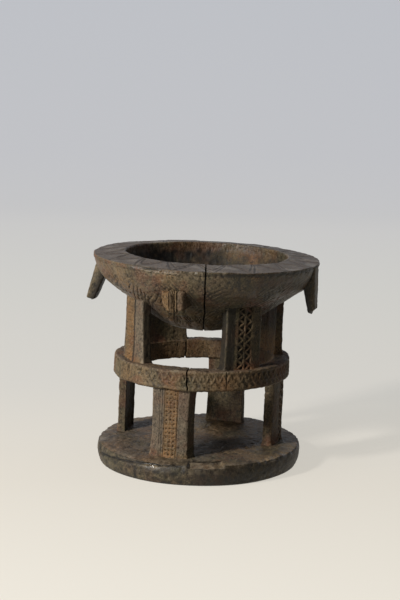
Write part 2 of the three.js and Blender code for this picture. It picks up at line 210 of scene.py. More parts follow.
def old_wood(name, dark, brown, roughness, gloss, grain):
    """Handled, smoke-blackened wood: mottled, dark in cuts, pale on rubbed edges, with dust, and with
    painted shade, painted sheen and painted highlights.
    """
    olive = (0.058, 0.054, 0.027)
    rubbed = (0.185, 0.142, 0.084)
    ochre = (0.205, 0.106, 0.040)
    red = (0.120, 0.050, 0.028)
    # This colour also paints sheen: the reflection of the pale backdrop on the rim, on tops and low on the
    # left.
    grey_and_sheen = (0.128, 0.104, 0.090)
    pale = (0.240, 0.195, 0.135)
    soot_and_shade = (0.0045, 0.0036, 0.0026)
    material = bpy.data.materials.new(name)
    material.use_nodes = True
    nodes, links = material.node_tree.nodes, material.node_tree.links
    shader = nodes["Principled BSDF"]
    shader.inputs["Specular IOR Level"].default_value = gloss

    def node(kind, **settings):
        made = nodes.new(kind)
        for key, value in settings.items():
            setattr(made, key, value)
        return made

    def tone(attribute):
        return node("ShaderNodeAttribute", attribute_name=attribute).outputs["Fac"]

    def noise(scale, stretch, detail, rough=0.6):
        placing = node("ShaderNodeMapping")
        placing.inputs["Scale"].default_value = stretch
        links.new(place.outputs["Object"], placing.inputs["Vector"])
        made = node("ShaderNodeTexNoise")
        made.inputs["Scale"].default_value = scale
        made.inputs["Detail"].default_value = detail
        made.inputs["Roughness"].default_value = rough
        links.new(placing.outputs["Vector"], made.inputs["Vector"])
        return made.outputs["Fac"]

    def span(value, low, high, to_low=0.0, to_high=1.0):
        made = node("ShaderNodeMapRange", interpolation_type="SMOOTHSTEP")
        ends = {"From Min": low, "From Max": high, "To Min": to_low, "To Max": to_high}
        for socket, number in ends.items():
            made.inputs[socket].default_value = number
        links.new(value, made.inputs["Value"])
        return made.outputs["Result"]

    def math_of(operation, a, b):
        made = node("ShaderNodeMath", operation=operation, use_clamp=True)
        for socket, value in zip(made.inputs, (a, b)):
            if isinstance(value, float):
                socket.default_value = value
            else:
                links.new(value, socket)
        return made.outputs["Value"]

    def blend(share, low, high):
        made = node("ShaderNodeMix", data_type="RGBA")
        for socket, value in ((made.inputs[0], share), (made.inputs[6], low), (made.inputs[7], high)):
            if isinstance(value, tuple):
                socket.default_value = (*value, 1.0)
            elif isinstance(value, float):
                socket.default_value = value
            else:
                links.new(value, socket)
        return made.outputs[2]

    place = node("ShaderNodeTexCoord")
    patches = noise(52.0, (1, 1, 0.7), 3.0)
    hues = noise(85.0, (1, 1, 0.8), 2.0)
    mottle = noise(420.0, (1, 1, 0.8), 5.0, 0.7)
    fibre = noise(520.0, (1, 1, grain), 3.0)
    specks = noise(1000.0, (1, 1, 0.8), 2.0)
    colour = blend(span(mottle, 0.33, 0.64), dark, brown)
    colour = blend(span(patches, 0.48, 0.66, 0.0, 0.7), colour, olive)
    for where, broken_up, tint in (("worn", span(mottle, 0.33, 0.58, 0.25, 1.0), rubbed),
                                   ("grey_and_sheen", span(mottle, 0.3, 0.55, 0.6, 1.0), grey_and_sheen),
                                   ("red", span(hues, 0.42, 0.58), red),
                                   ("ochre", span(mottle, 0.3, 0.6, 0.35, 1.0), ochre)):
        colour = blend(math_of("MULTIPLY", tone(where), broken_up), colour, tint)
    colour = blend(span(fibre, 0.5, 0.7, 0.0, 0.35), colour, dark)
    colour = blend(span(specks, 0.54, 0.68, 0.0, 0.45), colour, pale)
    colour = blend(span(specks, 0.46, 0.32, 0.0, 0.85), colour, dark)
    # Polished places are also blended towards pale: painted highlights and glints.
    colour = blend(math_of("MULTIPLY", tone("polish_and_glint"), 0.6), colour, pale)
    # Blending towards near black darkens cuts and cracks, and on some pieces also paints shade.
    colour = blend(tone("sunk_and_shaded"), colour, soot_and_shade)
    links.new(colour, shader.inputs["Base Color"])
    rough = math_of("ADD", math_of("MULTIPLY", specks, 0.5), math_of("MULTIPLY", mottle, 0.5))
    sheen = span(rough, 0.38, 0.62, roughness - 0.09, roughness + 0.14)
    sheen = math_of("SUBTRACT", sheen, math_of("MULTIPLY", tone("polish_and_glint"), 0.22))
    links.new(math_of("ADD", sheen, math_of("MULTIPLY", tone("matt"), 0.4)), shader.inputs["Roughness"])
    bump = node("ShaderNodeBump")
    bump.inputs["Strength"].default_value = 0.8
    bump.inputs["Distance"].default_value = 0.65 * mm
    relief = math_of("ADD", math_of("MULTIPLY", fibre, 0.3), math_of("MULTIPLY", specks, 0.3))
    links.new(math_of("ADD", relief, math_of("MULTIPLY", mottle, 0.4)), bump.inputs["Height"])
    links.new(bump.outputs["Normal"], shader.inputs["Normal"])
    return material


dark_patina = old_wood("dark_patina", (0.010, 0.0086, 0.0052), (0.098, 0.078, 0.044), 0.38, 0.38, 0.6)
random = np.random.default_rng(11)
foot_side = foot_radius - 2.6 * mm
foot_brink = foot_thickness - 0.8 * mm
foot_line = (curve((foot_side - 1.2 * mm, 0), (foot_side + 0.5 * mm, 0.1 * mm),
                   (foot_side + 1.0 * mm, 1.8 * mm), 8)
             + curve((foot_side + 1.1 * mm, 2.6 * mm), (foot_radius + 1.0 * mm, 0.5 * foot_thickness),
                     (foot_side + 1.7 * mm, foot_brink - 0.4 * mm))
             + curve((foot_side + 1.6 * mm, foot_brink - 0.2 * mm),
                     (foot_side + 1.5 * mm, foot_brink + 0.1 * mm),
                     (foot_side + 1.0 * mm, foot_brink + 0.15 * mm), 4))
foot_profile = np.vstack([
    spread([(0.5 * mm, 0), (foot_side - 1.4 * mm, 0)], 2.5 * mm),
    spread(foot_line, foot_step),
    spread([(foot_side + 0.4 * mm, foot_brink + 0.2 * mm), (foot_plateau, foot_thickness),
            (0.5 * mm, foot_thickness)], foot_step)])
foot_azimuths = np.linspace(0, 2 * np.pi, 601)[:-1]
foot = turned(foot_profile, foot_azimuths)
foot_reach = np.hypot(foot[..., 0], foot[..., 1])
foot_normals = outward(foot)
on_top = smooth(0.6, 0.95, foot_normals[..., 2])
along_grain = foot @ np.array(Matrix.Rotation(math.radians(-30), 3, "Z")) * [0.25, 1, 1]
foot_push = hand_cut(foot, 3) * smooth(0, 2 * mm, foot[..., 2])
foot_push += (0.16 * swell(along_grain, 4 * mm, 5) + 0.1 * swell(along_grain, 1.8 * mm, 6)) * mm * on_top
broad_facets = np.abs(swell(foot * [1, 1, 0.8], 15 * mm, 7))
foot_push += 0.4 * mm * broad_facets * (1 - on_top) * smooth(1 * mm, 4 * mm, foot[..., 2])
near_edge = smooth(foot_side - 5 * mm, foot_side - 0.6 * mm, foot_reach)
chipped = np.zeros(foot.shape[:2])
# Dents of use: place in degrees, width, depth, and how far below the brink, in millimetres.
use_marks = [(-6, 6.5, 0.8, 2.4), (40, 8, 0.8, 0.6), (58, 3.5, 0.6, 0.3), (66, 5, 0.9, 0.5)]
for _ in range(foot_chips):
    use_marks.append((random.uniform(-180, 180), random.uniform(1, 3.6), random.uniform(0.2, 0.6),
                      random.uniform(-0.4, 1.4)))
for centre, width, depth, fall in use_marks:
    arc = arc_from(foot_azimuths, centre, foot_radius)
    below = foot[..., 2] - foot_brink + fall * mm
    dent = np.exp(-(arc / (width * mm)) ** 4 - (below / (1.1 * mm)) ** 2) * near_edge
    foot_push -= depth * mm * dent
    chipped = np.maximum(chipped, dent * depth / 0.7)
foot_degrees = np.degrees(arc_from(foot_azimuths, 0, 1))
arc_spine = points_at(foot_azimuths * foot_radius)
ragged = swell(arc_spine, 3.2 * mm, 8)
flake_fall = 0.3 + 5.6 * np.clip((11 - foot_degrees) / 65, 0, 1) ** 1.3 + 0.35 * ragged
flake_there = smooth(-57, -51, foot_degrees) * smooth(13, 9, foot_degrees)
flake_level = foot_brink - flake_fall * mm
from_flake = foot[..., 2] - flake_level
crevice = smooth(1.0 * mm, 0.4 * mm, np.abs(from_flake)) * flake_there * near_edge
over_flake = smooth(0.2 * mm, 1.2 * mm, from_flake) * flake_there * near_edge
foot_push -= 1.5 * mm * crevice
foot_push -= 0.9 * mm * over_flake * smooth(foot_side - 2 * mm, foot_side + 1 * mm, foot_reach)
foot = foot + foot_normals * foot_push[..., None]
break_place = 24.5
break_reach = 62.5 * mm
break_arc = arc_from(foot_azimuths, break_place, foot_radius) + 0.9 * mm * ragged
from_break = foot_reach - break_reach - 0.9 * mm * swell(arc_spine, 4.5 * mm, 12)
rubble = 0.35 * mm * swell(foot, 2.2 * mm, 9) + 0.25 * mm * swell(foot, 5 * mm, 10)
ledge_level = foot_thickness - 0.75 * mm - 2.3 * mm * np.clip(from_break / (8 * mm), 0, 1) + rubble
broken = smooth(13.5 * mm, 12.3 * mm, np.abs(break_arc)) * (foot[..., 2] > 9 * mm)
broken = broken * smooth(-0.5 * mm, 0.2 * mm, from_break)
foot[..., 2] -= broken * np.clip(foot[..., 2] - ledge_level, 0, None)
foot[..., 2] = np.maximum(foot[..., 2], 0)
broken_edge = smooth(1.1 * mm, 0.3 * mm, np.abs(from_break - 0.2 * mm)) * (broken > 0.05) * on_top
broken_edge = np.maximum(broken_edge, smooth(0.05, 0.4, broken) * smooth(0.95, 0.6, broken))
back_rise = smooth(10 * mm, 62 * mm, level_places(foot)[1])
foot[..., 2] += 1.2 * mm * back_rise * smooth(9 * mm, 14 * mm, foot[..., 2])
foot = lean(uneven(foot))
foot_fleck = swell(foot, 17 * mm, 22)
below_brink = np.abs(foot[..., 2] - foot_brink + 0.9 * mm + 0.5 * mm * ragged)
# Painted shade in a thin line under the overhanging brink.
painted_brink_shade = np.maximum(smooth(-0.5, 0.1, ragged), smooth(30, 40, foot_degrees)) * (1 - on_top)
painted_brink_shade = painted_brink_shade * 0.7 * smooth(0.8 * mm, 0.2 * mm, below_brink)
# Painted shade on the side of the foot at the front right, away from the lamp.
painted_shade_side = smooth(13, 19, foot_degrees) * smooth(62, 45, foot_degrees) * (1 - on_top)
along_lean, beside_lean = level_places(foot)
# A painted shadow on the top of the foot, behind the front panel and under the ring.
painted_shadow_top = ((along_lean - 11 * mm) / (19 * mm)) ** 2 + ((beside_lean + 6 * mm) / (15 * mm)) ** 2
painted_shadow_top = np.exp(-painted_shadow_top) * on_top
# The left of the foot, towards the lamp: painted light, a little lighter and with more sheen on the top.
painted_light_left = smooth(30 * mm, -50 * mm, along_lean)
foot_tones = {
    "worn": (0.08 + 0.1 * painted_light_left + 0.3 * on_top + 0.4 * swell(foot, 8 * mm, 21) + 0.8 * chipped
             + 0.3 * broken + 0.3 * over_flake),
    # Painted sheen on the top, more of it on the left.
    "grey_and_sheen": on_top * (0.5 * painted_light_left + 0.3 * swell(foot, 9 * mm, 24)),
    "ochre": 0.2 * on_top + 0.35 * foot_fleck * on_top,
    "red": 0.1 + 0.4 * swell(foot, 20 * mm, 23),
    "matt": 0.4 - 0.4 * chipped,
    # Painted highlights on the chips and on the broken ledge, which are also less rough.
    "polish_and_glint": 0.9 * chipped + 0.8 * (broken > 0.5) * smooth(-0.1, 0.3, swell(foot, 2.6 * mm, 26)),
    "sunk_and_shaded": np.maximum.reduce([
        # Its first entry is painted shade along the bottom of the side, where the foot meets the floor.
        0.9 * smooth(1.2 * mm, 0, foot[..., 2]) * (foot_reach > 60 * mm), 0.85 * broken_edge, crevice,
        (0.44 + 0.55 * swell(foot, 2.6 * mm, 25)) * (1 - on_top), painted_brink_shade, 0.66 * painted_shade_side,
        0.85 * painted_shadow_top, 0.45 * smooth(0.1, 0.7, swell(foot, 4 * mm, 27)) * on_top]),
}
base = carved_mesh("foot", foot, foot_tones, dark_patina)
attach(base, "root")
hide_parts("base_disc")

# The four lower panels: slabs of the block left standing on the foot. Their outer faces follow a
# cylinder and carry bands of knife cuts; their edges are rubbed pale and carry painted highlights, and dust
# lies at their feet.

worn_patina = old_wood("worn_patina", (0.014, 0.011, 0.0066), (0.132, 0.101, 0.056), 0.46, 0.25, 0.15)
panel_step = 0.45 * mm
panel_root = 1.2 * mm
lower_radius = 58.5 * mm
flare_reach = 1.8 * mm
cut_depth = 0.8 * mm
ring_bottom = foot_thickness + 48 * mm


def chip_pit(across, up, width, height, depth):
    """A three-sided knife cut, point up: how far it goes into the wood."""
    rise = up / height + 0.5
    inside = np.minimum((1 - rise) * width / 2 - np.abs(across), rise * height)
    return np.clip(inside * 1.1, 0, depth)


def pitted_band(across, up, columns, pitch, seed):
    """Columns of small three-sided cuts, row above row, a little uneven."""
    cut = np.zeros_like(across)
    for order, column in enumerate(columns):
        spine = points_at(0, up, column)
        side = across - column - 0.3 * mm * swell(spine, 9 * mm, seed + order)
        level = up / pitch + 0.12 * swell(spine, 5 * mm, seed + 10 + order)
        row = np.round(level)
        width = 2.5 * mm * (1 + 0.25 * swell(points_at(0, row * pitch * 9, column), 4 * mm, seed + 20))
        cut = np.maximum(cut, chip_pit(side, (level - row) * pitch, width, pitch * 0.86, cut_depth))
    return cut


def zigzag_band(across, along, width, pitch, ridge, depth, seed):
    """Two rows of triangular cuts that leave a zigzag ridge standing between them."""
    phase = along / pitch + 0.12 * swell(points_at(0, along), 1.7 * pitch, seed)
    swing = 4 * np.abs(phase - np.floor(phase + 0.5)) - 1
    slope = math.cos(math.atan(2 * width / pitch))
    away = np.abs(across - swing * width / 2) * slope - ridge / 2
    inside = np.minimum(away, width / 2 + ridge / 4 - np.abs(across))
    deeper = 1 + 0.3 * swell(points_at(across * 0.3, along), 1.3 * pitch, seed + 1)
    return np.clip(inside * 1.15, 0, depth) * deeper


def scored(across, place, width, depth):
    """A straight knife line at a place across the face."""
    return depth * smooth(width / 2, 0, np.abs(across - place))


def panel_grid(panel, radius, bottom, top, flare_bottom, flare_top):
    """The four faces of a slab with a bowed front, round and up, from its sizes in millimetres."""
    azimuth, width, thickness, bevels, splays, widening, aside, beyond = panel
    azimuth, half, thickness = math.radians(azimuth), width / 2 * mm, thickness * mm
    low, high = (bevel * mm for bevel in bevels)
    outline = ([(-half - splays[0] * mm, thickness)] + curve((-half, low), (-half, 0), (-half + low, 0), 5)
               + curve((half - high, 0), (half, 0), (half, high), 5) + [(half + splays[1] * mm, thickness)])
    face = spread(outline, panel_step)
    back = spread([outline[-1], outline[0]], 2 * panel_step)[1:-1]
    section = np.vstack([face, back])
    rows = max(2, int((top - bottom) / panel_step))
    up = np.linspace(bottom, top, rows)[:, None]
    share = (up - bottom) / (top - bottom)
    side_share = section[None, :, 0] / half
    flare = (flare_bottom * np.exp(-(up - bottom - 1 * mm) / flare_reach)
             + flare_top * np.exp(-(top - up) / flare_reach))
    stretch = 1 - 0.04 * np.sin(np.pi * share) + widening * (0.5 - share)
    across = section[None, :, 0] * stretch + flare * side_share ** 3
    depth = section[None, :, 1] + flare * (section[None, :, 1] / thickness * 2 - 1) * 0.7
    reach = np.sqrt(radius ** 2 - across ** 2) - depth + beyond * mm
    facing, beside = around(azimuth), around(azimuth + np.pi / 2)
    grid = reach[..., None] * facing + (across + aside * mm)[..., None] * beside + up[..., None] * up_axis
    front = np.broadcast_to(smooth(0.9 * mm, 0.2 * mm, section[None, :, 1]), across.shape)
    return grid, across, grid[..., 2], front


def make_panel(name, node, grid, across, front, width, cut, banded, looks, seed):
    """Carves a slab and gives it its looks: rubbed pale, ochre in its band, painted shade on its sides and
    margin, and painted light inside.
    """
    worn, ochre, flank_shade, margin_shade, inner_light = looks
    rough = hand_cut(grid, seed)
    streaks = swell(grid * [1, 1, 0.1], 1.7 * mm, seed + 5)
    push = 0.7 * rough - cut * front + 0.12 * mm * streaks * (1 - 0.6 * front)
    push += 0.25 * mm * swell(grid * [1, 1, 0.6], 8 * mm, seed + 4)
    normals = outward(grid)
    up = grid[..., 2]
    foot_dust = smooth(up.min() + 7 * mm, up.min() + 1 * mm, up) * (0.25 + 0.75 * front)
    # A painted pool of light, paler and ochre, low on the inner face.
    painted_inner_light = inner_light * smooth(up.min() + 20 * mm, up.min() + 9 * mm, up) * (1 - front)
    edge = smooth(width / 2 - 2.0 * mm, width / 2 - 0.5 * mm, np.abs(across)) * front
    grid = lean(grid + normals * push[..., None])
    depth = cut * front / cut_depth
    fleck = swell(grid, 9 * mm, seed + 6)
    # Painted shade on the flanks and the inner face, deepest on the right flank.
    painted_flank_shade = (1 - front) * np.where(across > 0.3 * width, flank_shade, 0.15)
    # Painted shade on the left margin of the face.
    painted_margin_shade = margin_shade * smooth(-0.24 * width, -0.28 * width, across) * (1 - 0.6 * edge)
    tones = {
        "worn": worn + 0.3 * fleck + 0.3 * edge + 0.3 * (depth > 0.02) * (depth < 0.35) + painted_inner_light,
        "grey_and_sheen": min(1.8 * worn, 0.45) * front * (1 - banded) * (1 - foot_dust),
        "ochre": (ochre * banded * (0.55 + 0.4 * fleck + 0.4 * smooth(0.02, 0.2, depth))
                  + 0.5 * foot_dust * (0.6 + 0.5 * fleck) + 0.5 * painted_inner_light),
        "red": (0.25 + 0.6 * swell(grid, 11 * mm, seed + 7) + 0.7 * foot_dust
                + 0.5 * banded * swell(grid, 6 * mm, seed + 9)),
        "matt": 0.5,
        # Painted highlights on the rubbed edges, which are also less rough.
        "polish_and_glint": 0.75 * edge * smooth(0.0, 0.3, swell(grid, 2.5 * mm, seed + 8)),
        "sunk_and_shaded": np.maximum.reduce([0.9 * smooth(0.4, 0.95, depth), painted_flank_shade, painted_margin_shade]),
    }
    panel = carved_mesh(name, grid, tones, worn_patina)
    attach(panel, "root")
    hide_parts(node)


# Side; azimuth, width, thickness, two bevels, two splays, widening, aside, beyond; band; worn, ochre.
lower_panels = [
    ("front", (-1, 28, 6.2, (1.4, 1.4), (0, 2), 0, 0, 0), 0.9, (0.3, 1.0)),
    ("right", (90, 26, 6, (1.8, 1.3), (0, 0), 0, 12.8, -3.1), 4.6, (0.05, 0.6)),
    ("back", (178.5, 28.6, 6, (1.4, 1.4), (0, 0), 0, 0, 0), 0.0, (0.2, 0.5)),
    ("left", (-87, 19.6, 5.6, (1, 1), (0, 0), 0, -7.3, 3.6), 0.0, (0.05, 0.4)),
]
for order, (side, sizes, band, rubbing) in enumerate(lower_panels):
    grid, across, up, front = panel_grid(
        sizes, lower_radius, foot_thickness - panel_root, ring_bottom + panel_root, 0.8 * mm, 0.5 * mm)
    middle = across - band * mm
    if side in ("front", "back"):
        cut = pitted_band(middle, up, (-2.8 * mm, 0, 2.8 * mm), 3.0 * mm, 31 + order)
        for line in (-8.0, -6.5, -4.7, 4.9):
            cut = np.maximum(cut, scored(middle, line * mm, 0.9 * mm, 0.7 * mm))
    else:
        cut = zigzag_band(middle, up, 6.4 * mm, 5.4 * mm, 0.7 * mm, 0.9 * mm, 35 + order)
        for line in (-4.4, 4.4):
            cut = np.maximum(cut, scored(middle, line * mm, 1.0 * mm, 0.5 * mm))
    banded = smooth(5.6 * mm, 4.6 * mm, np.abs(middle)) * front
    make_panel("lower_panel_" + side, "lower_post_" + side, grid, across, front, sizes[1] * mm, cut, banded,
               (*rubbing, 0.2, 0.0, 0.0), 40 + 9 * order)

# The ring: an open hoop halfway up, left between the panels below and above. A zigzag stands
# between two rows of knife cuts round its side, and gives way to short upright strokes at the front
# left. The wood has split through the ring in three places.

ring_outer = 62.25 * mm
ring_inner = 50 * mm
ring_thickness = 14 * mm
ring_top = ring_bottom + ring_thickness


def fine_near(count, places):
    """Azimuths all round, with many more close to each place, which is given in degrees."""
    even = np.linspace(-180, 180, 20001)
    density = np.ones(even.shape)
    for place in places:
        away = np.abs(np.mod(even - place + 180, 360) - 180)
        density += 6 * np.exp(-(away / 1.6) ** 2)
    total = np.r_[0, np.cumsum((density[1:] + density[:-1]) / 2)]
    return np.radians(np.interp(np.linspace(0, total[-1], count + 1)[:-1], total, even))


def near(azimuths, centre, radius, half_width, power=4):
    """1 round a place given in degrees, and 0 farther from it than half_width."""
    return np.exp(-(arc_from(azimuths, centre, radius) / half_width) ** power)


def split(points, azimuth, width, wander, seed):
    """A crack in an upright plane through the axis: 1 in its middle, 0 beside it."""
    place = np.arctan2(points[..., 0], -points[..., 1])
    reach = np.hypot(points[..., 0], points[..., 1])
    spine = points_at(0, reach * 0.4, points[..., 2])
    ramble = wander * (swell(spine, 7 * mm, seed) + 0.5 * swell(spine, 2.2 * mm, seed + 1))
    away = arc_from(place, azimuth, reach) + ramble
    same_side = np.cos(place - math.radians(azimuth)) > 0
    return smooth(width, width * 0.35, np.abs(away)) * same_side


ring_splits = ((10.7, 0.6, 0.6), (35.7, 0.32, 0.2), (-146, 0.7, 0.7))  # place, width, wander
zigzag_pitch = 4.9 * mm
zigzag_level = 8.7 * mm
tick_level = 4.2 * mm
ring_bevel = 2.0 * mm
ring_split_depth = 3.2 * mm
ring_line = ([(ring_inner + 1.0 * mm, 0)]
             + curve((ring_outer - ring_bevel, 0), (ring_outer, 0), (ring_outer, ring_bevel))
             + curve((ring_outer, ring_thickness - ring_bevel), (ring_outer, ring_thickness),
                     (ring_outer - ring_bevel, ring_thickness))
             + curve((ring_inner + ring_bevel, ring_thickness), (ring_inner, ring_thickness),
                     (ring_inner, ring_thickness - ring_bevel))
             + [(ring_inner, 1.0 * mm)])
ring_line = [(radius, height + ring_bottom) for radius, height in ring_line]
ring_azimuths = fine_near(880, [place for place, _, _ in ring_splits])
ring = turned(spread(ring_line + ring_line[:1], 0.5 * mm)[:-1], ring_azimuths)
ring_normals = outward(ring, True)
ring_level = ring[..., 2] - ring_bottom
facing_out = (ring_normals * around(ring_azimuths)).sum(-1)
ring_side = smooth(0.7, 0.95, facing_out)
ring_arc = ring_azimuths * ring_outer
rubbed = smooth(-0.7, 0.3, swell(ring, 22 * mm, 62))
ring_cut = zigzag_band(ring_level - zigzag_level, ring_arc, 5.8 * mm, zigzag_pitch, 0.75 * mm, 0.7 * mm, 61)
ticks = (ring_arc / zigzag_pitch + (ring_level - tick_level) / (6 * mm)) % 1 - 0.5
ticks = smooth(0.5 * mm, 1.3 * mm, np.abs(ticks) * zigzag_pitch)
ticks = ticks * smooth(1.6 * mm, 1.1 * mm, np.abs(ring_level - tick_level))
ring_cut = np.maximum(ring_cut, 0.55 * mm * ticks)
ring_left = near(ring_azimuths, -42, ring_outer, 22 * mm, 6)
strokes = smooth(0.1, 0.5, swell(points_at(ring_arc, 0.15 * ring_level), 1.6 * mm, 71))
ring_cut = ring_cut * (1 - 0.75 * ring_left) + 0.45 * mm * strokes * ring_left
ring_cut = ring_cut * ring_side * (0.5 + 0.5 * rubbed)
ring_cut = np.maximum(ring_cut, scored(ring_level, 2.3 * mm, 1.0 * mm, 0.35 * mm) * ring_side * rubbed)
ring_crack = np.zeros(ring.shape[:2])
for order, (place, width, wander) in enumerate(ring_splits):
    ring_crack = np.maximum(ring_crack, split(ring, place, width * mm, wander * mm, 64 + order))
ring_edges = smooth(0.98, 0.75, facing_out) * smooth(0.2, 0.5, facing_out) * (ring_normals[..., 2] > 0)
ring_push = hand_cut(ring, 60) - ring_cut - ring_split_depth * ring_crack
ring_push += 0.4 * mm * swell(ring, 10 * mm, 69) * (1 - 0.5 * ring_side)
ring = lean(uneven(ring + ring_normals * ring_push[..., None]))
ring_depth = ring_cut / cut_depth
ring_tones = {
    "worn": 0.2 + 0.3 * swell(ring, 16 * mm, 66) + 0.25 * (ring_depth < 0.3) * ring_side + 0.5 * ring_edges,
    "ochre": 0.15 + 0.4 * swell(ring, 13 * mm, 67) + 0.25 * (facing_out < -0.5),
    "red": 0.3 + 0.6 * swell(ring, 12 * mm, 68),
    # Painted sheen on the top faces.
    "grey_and_sheen": 0.5 * (ring_normals[..., 2] > 0.6),
    "matt": 0.4,
    # Painted highlights on the rubbed edges of the ring.
    "polish_and_glint": 0.8 * ring_edges * smooth(0.0, 0.4, swell(ring, 4 * mm, 70)),
    # The last entry is painted shade on the inner wall of the ring.
    "sunk_and_shaded": np.maximum.reduce([ring_crack, 0.7 * smooth(0.4, 0.95, ring_depth), 0.3 * (facing_out < -0.5)]),
}
hoop = carved_mesh("ring", ring, ring_tones, worn_patina, ring_rows=True)
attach(hoop, "root")
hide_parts("middle_ring")

# The four upper panels: they stand on the ring between the lower ones and run up into the bowl.
# Two columns of zigzag with a straight rib between them run up the outer faces of two of them, and
# four columns of small three-sided cuts up the others.

bowl_bottom = ring_top + 19.5 * mm
into_bowl = 27 * mm
upper_radius = 57.5 * mm
# As for the lower ones, then painted shade on the right flank and on the left margin, and painted light low
# inside.
upper_panels = [
    ("front_right", (49, 28.5, 6, (1.4, 1.4), (0, 0), 0, 0, 0), 0.3, (0.0, 0.1, 0.2, 0.85, 0.1)),
    ("back_right", (131, 28, 5.8, (1.4, 1.4), (0, 0), 0, 0, 0), 0.0, (0.1, 0.3, 0.2, 0.0, 1.2)),
    ("back_left", (-128, 33, 6, (1.6, 1.6), (0, 0), 0, 0, 0), 0.0, (0.15, 0.4, 0.2, 0.0, 0.1)),
    ("front_left", (-40, 27.4, 6.2, (1.4, 1.8), (0, 0), 0.2, 0, 0), -4.0, (0.35, 1.0, 0.75, 0.0, 0.1)),
]
for order, (side, sizes, band, looks) in enumerate(upper_panels):
    grid, across, up, front = panel_grid(
        sizes, upper_radius, ring_top - panel_root, bowl_bottom + into_bowl, 1.3 * mm, 0.0)
    middle = across - band * mm
    if side in ("front_left", "back_right"):
        cut = pitted_band(middle, up, (-4.1 * mm, -1.3 * mm, 1.5 * mm, 4.2 * mm), 2.4 * mm, 76 + order)
        cut = np.maximum(cut, scored(middle, -6.0 * mm, 1.1 * mm, 0.6 * mm))
        cut = np.maximum(cut, scored(middle, 7.0 * mm, 3.0 * mm, 1.1 * mm))
        banded = smooth(6.6 * mm, 5.6 * mm, np.abs(middle)) * front
    else:
        left, right = middle + 2.9 * mm, middle - 2.9 * mm
        cut = np.maximum(zigzag_band(left, up, 4.6 * mm, 5.6 * mm, 0.5 * mm, 1.0 * mm, 72),
                         zigzag_band(right, up + 1.4 * mm, 4.6 * mm, 6.0 * mm, 0.5 * mm, 1.0 * mm, 74))
        banded = smooth(6.4 * mm, 5.4 * mm, np.abs(middle)) * front
    make_panel("upper_panel_" + side, "upper_post_" + side, grid, across, front, sizes[1] * mm, cut, banded,
               looks, 80 + 9 * order)

# The bowl: cone-sided below, with a broad flat rim that falls slightly to its edge, hollowed with
# a round gouge. The rim is scored with a zigzag, the cone with fine hatching, and it has split at
# the front. The edge of the rim is rubbed bright in places and carries painted glints, and the
# hollow is darker, with an ochre patch on its far wall.

bowl_height = 53 * mm
rim_radius = 80 * mm
mouth_radius = 57 * mm
rim_fall = 2.1 * mm
rim_edge = 3.1 * mm
hollow_depth = 41 * mm
cone_foot = 25.5 * mm
cone_start = cone_foot + 12.5 * mm
cone_slope = math.tan(math.radians(36))
shoulder = 70 * mm
shoulder_end = 76.5 * mm
rim_outer_level = bowl_height - rim_fall
rim_lower_level = rim_outer_level - rim_edge
bowl_split = 19.6
bowl_split_depth = 3.6 * mm


def with_bowl(points):
    """Tilts what is drawn from the bottom of the bowl and puts it in its place."""
    tilt = np.array(Matrix.Rotation(math.atan(lean_slope), 3, Vector(around(lean_heading + math.pi))))
    return points @ tilt.T + lean(bowl_bottom * up_axis)


def cone_level(radius):
    return (radius - cone_foot) * cone_slope


underside = ([(2 * mm, 0), (10 * mm, 0)]
             + curve((10 * mm, 0), (cone_foot, 0), (cone_start, cone_level(cone_start)))
             + curve((shoulder, cone_level(shoulder)), (shoulder_end, cone_level(shoulder_end)),
                     (rim_radius - 1.0 * mm, rim_lower_level)))
lip = curve((rim_radius - 0.5 * mm, rim_lower_level + 0.4 * mm),
            (rim_radius + 0.3 * mm, rim_lower_level + 1.8 * mm),
            (rim_radius - 0.7 * mm, rim_outer_level), 7)
brim = curve((mouth_radius + 1.4 * mm, bowl_height), (mouth_radius, bowl_height),
             (mouth_radius, bowl_height - 1.4 * mm), 6)
turn = np.linspace(0, np.pi / 2, 40)[1:-1]
hollow_level = bowl_height - 1.4 * mm - (hollow_depth - 1.4 * mm) * np.sin(turn)
hollow = np.stack([mouth_radius * np.cos(turn), hollow_level], -1)
bowl_profile = np.vstack([
    spread(underside, 0.6 * mm),
    spread(underside[-1:] + lip, 0.35 * mm)[1:],
    spread(lip[-1:] + brim, 0.6 * mm)[1:],
    spread(brim[-1:] + hollow.tolist() + [(2 * mm, bowl_height - hollow_depth)], 1.1 * mm)[1:]])
bowl_azimuths = fine_near(900, [bowl_split])
bowl = turned(bowl_profile, bowl_azimuths)
bowl_normals = outward(bowl)
bowl_reach = np.hypot(bowl[..., 0], bowl[..., 1])
bowl_arc = bowl_azimuths * shoulder
bowl_level = bowl[..., 2]
facing_out = (bowl_normals * around(bowl_azimuths)).sum(-1)
is_hollow = (facing_out < 0) * smooth(mouth_radius + 0.3 * mm, mouth_radius - 0.8 * mm, bowl_reach)
is_rim = smooth(0.8, 0.97, bowl_normals[..., 2]) * (bowl_reach > mouth_radius)
is_cone = smooth(0.25, 0.55, -bowl_normals[..., 2]) * smooth(30 * mm, 40 * mm, bowl_reach)


def rim_zigzag(reach, azimuths):
    """A scored line between the two edges of the rim, with a second one inside each turn."""
    turns = 18
    share = (reach - mouth_radius) / (rim_radius - mouth_radius)
    phase = azimuths / (2 * np.pi) * turns + 0.35
    swing = np.abs(2 * (phase - np.floor(phase + 0.5)))
    lines = 0
    for shift in (0.0, 0.3):
        away = np.abs(swing - share * (1 + shift) - shift * 0.4) / 2 / turns * 2 * np.pi * reach
        lines = np.maximum(lines, smooth(0.95 * mm, 0.25 * mm, away))
    return lines * smooth(0.03, 0.1, share) * smooth(0.99, 0.93, share)


